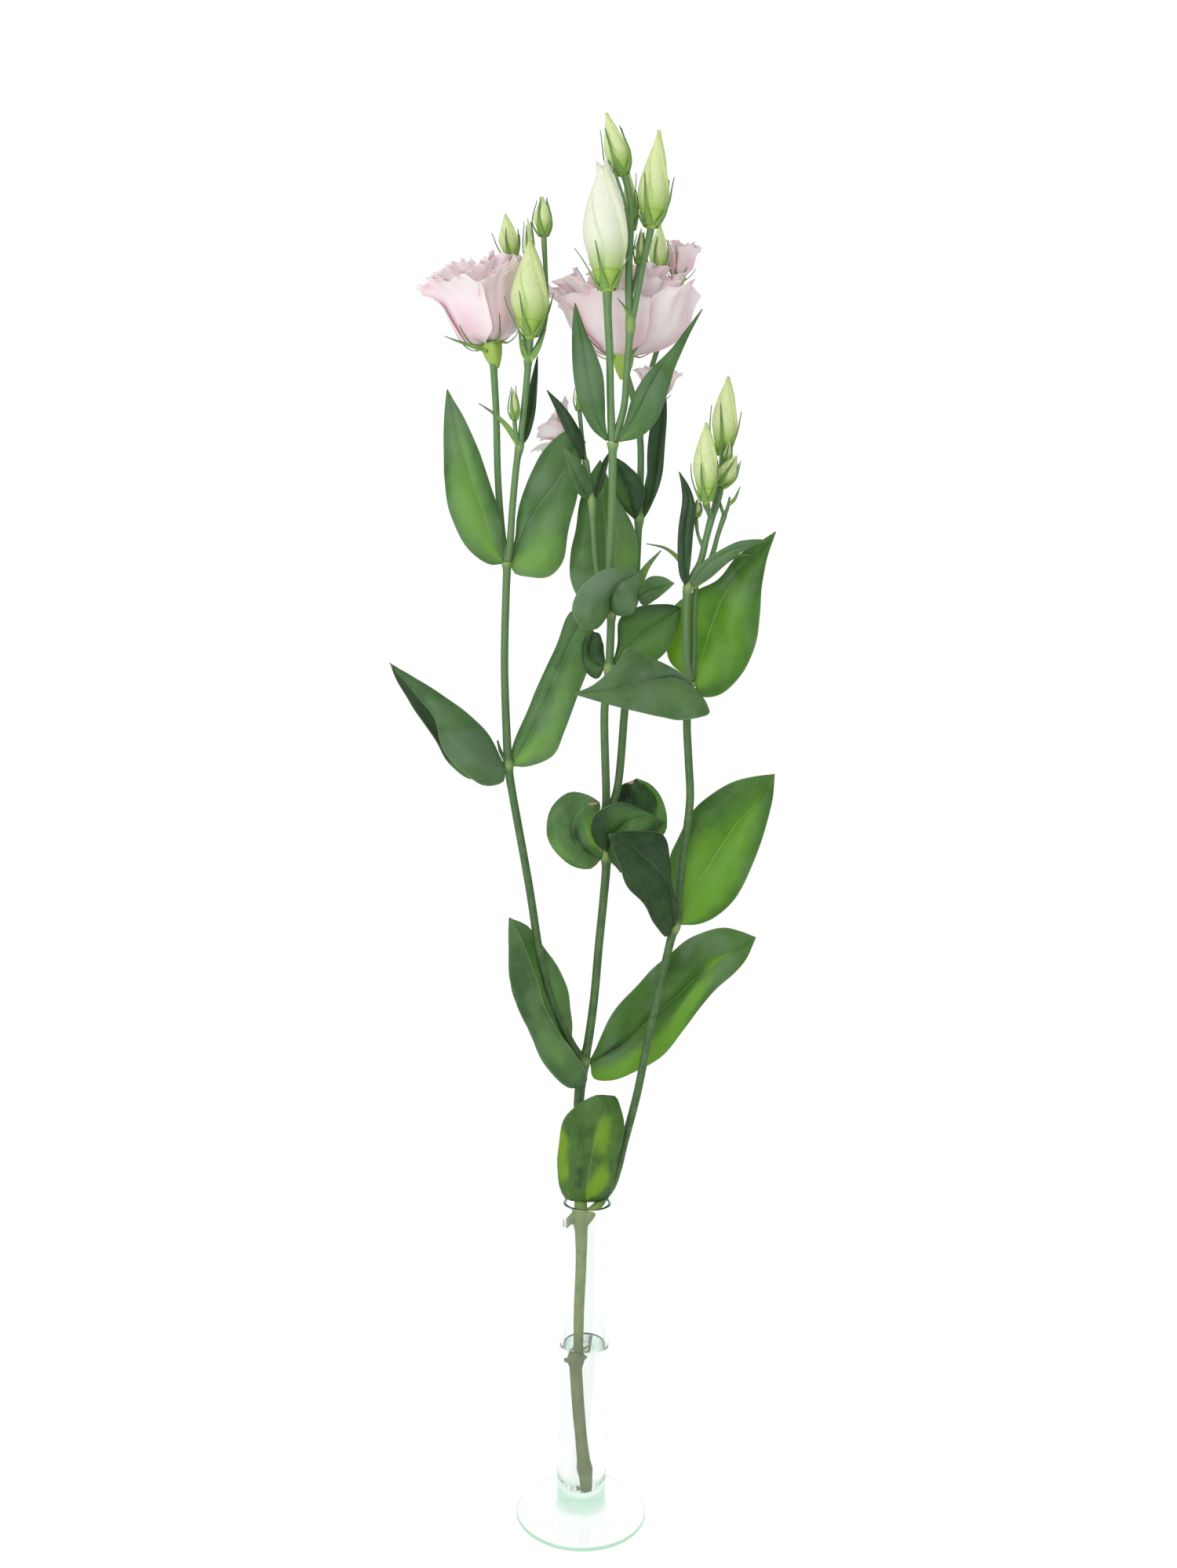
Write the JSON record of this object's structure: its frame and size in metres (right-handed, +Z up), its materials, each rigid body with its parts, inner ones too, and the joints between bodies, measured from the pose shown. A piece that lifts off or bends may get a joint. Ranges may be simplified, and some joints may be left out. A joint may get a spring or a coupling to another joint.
{
  "type": "lisianthus flower in a bud vase",
  "caption": "Branched cut lisianthus stem with pale pink double blooms, buds and opposite leaves, standing in a slim clear glass bud vase with water.",
  "frame": {"origin": "middle of the vase's foot, on the surface that it stands on", "axes": "+Z up along the vase's tube, -Y towards the viewer of the front view, +X to that viewer's right"},
  "size_m": [0.1985, 0.1211, 0.7066],
  "materials": {
    "clear_glass": "clear, faintly green, polished",
    "water": "clear still water",
    "stem_green": "smooth, waxy",
    "leaf_green": "waxy blue-green, satin",
    "leaf_bright": "thin, light shines through",
    "leaf_dark": "shaded, satin",
    "bud_green": "satin, fluted",
    "bud_white": "satin, fluted",
    "petal_pink": "soft, thin, light shines through"
  },
  "bodies": {
    "root": {"vase": "clear_glass", "water": "water", "stem": "stem_green", "leaf_rim": "leaf_green", "leaf_lower_left": "leaf_green", "leaf_lower_right": "leaf_bright", "leaf_branch_right": "leaf_bright", "leaf_branch_left": "leaf_dark", "leaf_middle_left": "leaf_green", "leaf_middle_front": "leaf_dark", "leaf_middle_back": "leaf_dark", "leaf_left_low_left": "leaf_green", "leaf_left_low_right": "leaf_green", "leaf_left_high_left": "leaf_green", "leaf_left_high_right": "leaf_green", "leaf_top_left": "leaf_green", "leaf_top_right": "leaf_green", "leaf_right_big": "leaf_bright", "leaf_right_front": "leaf_green", "leaf_front_low_right": "leaf_dark", "leaf_front_low_left": "leaf_dark", "leaf_front_curled": "leaf_green", "leaf_back_right": "leaf_green", "leaf_front_upright": "leaf_green", "leaf_side_left": "leaf_green", "leaf_side_right": "leaf_dark", "leaf_side_narrow": "leaf_dark", "leaf_back_dark": "leaf_dark", "leaf_back_outer": "leaf_dark", "leaf_shoot_left": "leaf_dark", "leaf_shoot_right": "leaf_green", "leaf_left_narrow": "leaf_dark", "bud_white": "bud_white", "bud_top": "bud_green", "bud_right": "bud_green", "bud_behind_top": "bud_green", "bud_cluster": "bud_green", "bud_far_right": "bud_green", "bud_left_big": "bud_green", "bud_left_small": "bud_green", "bud_left_thin": "bud_green", "bud_left_upper": "bud_green", "bud_left_young": "bud_green", "bud_branch_tall": "bud_green", "bud_branch_second": "bud_green", "bud_branch_third": "bud_green", "bud_branch_low": "bud_green", "bud_branch_tiny": "bud_green", "bud_side": "bud_green", "bloom_left": "petal_pink", "bloom_centre": "petal_pink", "bloom_far": "petal_pink", "bloom_low_left": "petal_pink", "bloom_low_right": "petal_pink"}
  },
  "joints": []
}
